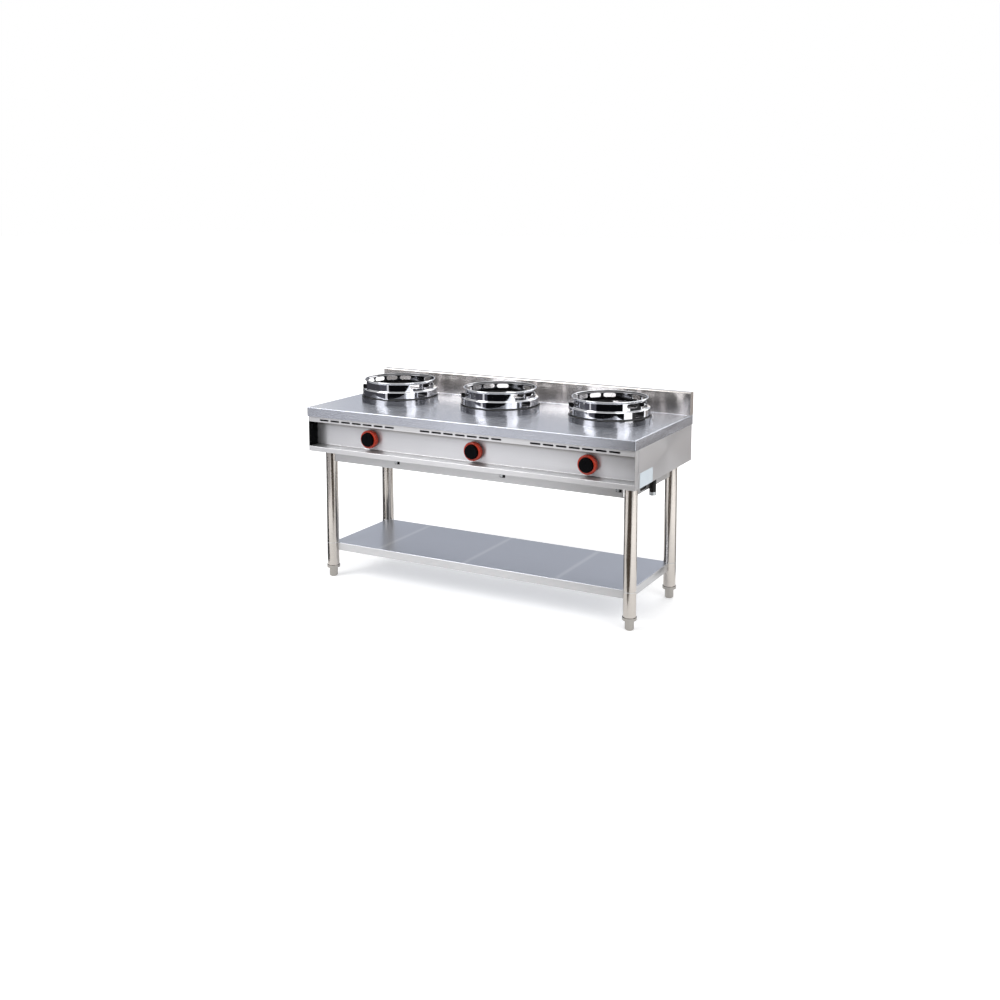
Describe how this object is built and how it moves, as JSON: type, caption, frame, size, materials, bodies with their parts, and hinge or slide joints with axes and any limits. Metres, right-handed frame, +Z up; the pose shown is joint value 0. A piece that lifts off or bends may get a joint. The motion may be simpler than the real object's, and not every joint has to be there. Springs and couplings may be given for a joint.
{
  "type": "wok range",
  "caption": "Free-standing gas wok range: folded steel top with splashback, slotted wok rings on collars, red and black knobs in a recess, tube legs and an undershelf.",
  "frame": {"origin": "on the floor, under the middle of the worktop", "axes": "+X along the front to the cook's right, +Y from the cook's side to the splashback, +Z up"},
  "size_m": [1.5, 0.62, 0.8526],
  "materials": {
    "worktop_steel": "brushed along the front",
    "splash_steel": "brushed",
    "panel_steel": "brushed along the front",
    "collar_steel": "bright drawn",
    "polished_steel": "mirror polished",
    "bowl_steel": "heat-darkened",
    "cast_iron": "sand-cast, matt",
    "zinc_steel": "zinc plated",
    "brass": "turned",
    "knob_red": "satin moulded",
    "knob_black": "fine moulded grain",
    "black_pipe": "black lacquered",
    "stand_steel": "brushed",
    "leg_steel": "polished tube",
    "foot_steel": "satin turned",
    "shelf_steel": "brushed along the front"
  },
  "bodies": {
    "range_body": {"back_panel": "panel_steel", "base_pan": "panel_steel", "burner_base_centre": "cast_iron", "burner_base_left": "cast_iron", "burner_base_right": "cast_iron", "burner_brackets": "zinc_steel", "burner_head_centre": "cast_iron", "burner_head_left": "cast_iron", "burner_head_right": "cast_iron", "collar_centre": "collar_steel", "collar_left": "collar_steel", "collar_right": "collar_steel", "drip_bowl_centre": "bowl_steel", "drip_bowl_left": "bowl_steel", "drip_bowl_right": "bowl_steel", "end_cheeks": "panel_steel", "feed_tubes": "brass", "foot_inserts": "foot_steel", "front_fascia": "panel_steel", "front_rail": "stand_steel", "gas_manifold": "black_pipe", "gas_taps": "brass", "injectors": "brass", "inlet_union": "zinc_steel", "knob_bezels": "knob_black", "leg_front_left": "leg_steel", "leg_front_right": "leg_steel", "leg_rear_left": "leg_steel", "leg_rear_right": "leg_steel", "pilot_burners": "brass", "rear_rail": "stand_steel", "shelf_stiffener": "shelf_steel", "side_panel_left": "panel_steel", "side_panel_right": "panel_steel", "side_rails": "stand_steel", "splash_end_caps": "splash_steel", "splashback": "splash_steel", "tie_bolts": "zinc_steel", "tie_plates": "stand_steel", "undershelf": "shelf_steel", "worktop": "worktop_steel"},
    "wok_ring_left": {"wok_ring_left": "polished_steel"},
    "tap_push_left": {"thrust_washer_left": "zinc_steel"},
    "knob_left": {"knob_skirt_left": "knob_red", "knob_cap_left": "knob_black", "tap_spindle_left": "brass"},
    "wok_ring_centre": {"wok_ring_centre": "polished_steel"},
    "tap_push_centre": {"thrust_washer_centre": "zinc_steel"},
    "knob_centre": {"knob_skirt_centre": "knob_red", "knob_cap_centre": "knob_black", "tap_spindle_centre": "brass"},
    "wok_ring_right": {"wok_ring_right": "polished_steel"},
    "tap_push_right": {"thrust_washer_right": "zinc_steel"},
    "knob_right": {"knob_skirt_right": "knob_red", "knob_cap_right": "knob_black", "tap_spindle_right": "brass"},
    "foot_front_left": {"levelling_foot_front_left": "foot_steel"},
    "foot_front_right": {"levelling_foot_front_right": "foot_steel"},
    "foot_rear_left": {"levelling_foot_rear_left": "foot_steel"},
    "foot_rear_right": {"levelling_foot_rear_right": "foot_steel"}
  },
  "joints": [
    {"name": "wok_ring_left_lift", "type": "slide", "parent": "range_body", "child": "wok_ring_left", "axis": [0, 0, 1], "range_m": [0, 0.12]},
    {"name": "knob_left_push", "type": "slide", "parent": "range_body", "child": "tap_push_left", "axis": [0, 1, 0], "range_m": [0, 0.004], "stiffness_N_per_m": 1500},
    {"name": "knob_left_turn", "type": "hinge", "parent": "tap_push_left", "child": "knob_left", "pos_m": [-0.465, -0.243, 0.634], "axis": [0, -1, 0], "range_deg": [0, 180]},
    {"name": "wok_ring_centre_lift", "type": "slide", "parent": "range_body", "child": "wok_ring_centre", "axis": [0, 0, 1], "range_m": [0, 0.12]},
    {"name": "knob_centre_push", "type": "slide", "parent": "range_body", "child": "tap_push_centre", "axis": [0, 1, 0], "range_m": [0, 0.004], "stiffness_N_per_m": 1500},
    {"name": "knob_centre_turn", "type": "hinge", "parent": "tap_push_centre", "child": "knob_centre", "pos_m": [0.035, -0.243, 0.634], "axis": [0, -1, 0], "range_deg": [0, 180]},
    {"name": "wok_ring_right_lift", "type": "slide", "parent": "range_body", "child": "wok_ring_right", "axis": [0, 0, 1], "range_m": [0, 0.12]},
    {"name": "knob_right_push", "type": "slide", "parent": "range_body", "child": "tap_push_right", "axis": [0, 1, 0], "range_m": [0, 0.004], "stiffness_N_per_m": 1500},
    {"name": "knob_right_turn", "type": "hinge", "parent": "tap_push_right", "child": "knob_right", "pos_m": [0.535, -0.243, 0.634], "axis": [0, -1, 0], "range_deg": [0, 180]},
    {"name": "foot_front_left_screw", "type": "slide", "parent": "range_body", "child": "foot_front_left", "axis": [0, 0, -1], "range_m": [0, 0.025]},
    {"name": "foot_front_right_screw", "type": "slide", "parent": "range_body", "child": "foot_front_right", "axis": [0, 0, -1], "range_m": [0, 0.025]},
    {"name": "foot_rear_left_screw", "type": "slide", "parent": "range_body", "child": "foot_rear_left", "axis": [0, 0, -1], "range_m": [0, 0.025]},
    {"name": "foot_rear_right_screw", "type": "slide", "parent": "range_body", "child": "foot_rear_right", "axis": [0, 0, -1], "range_m": [0, 0.025]}
  ]
}
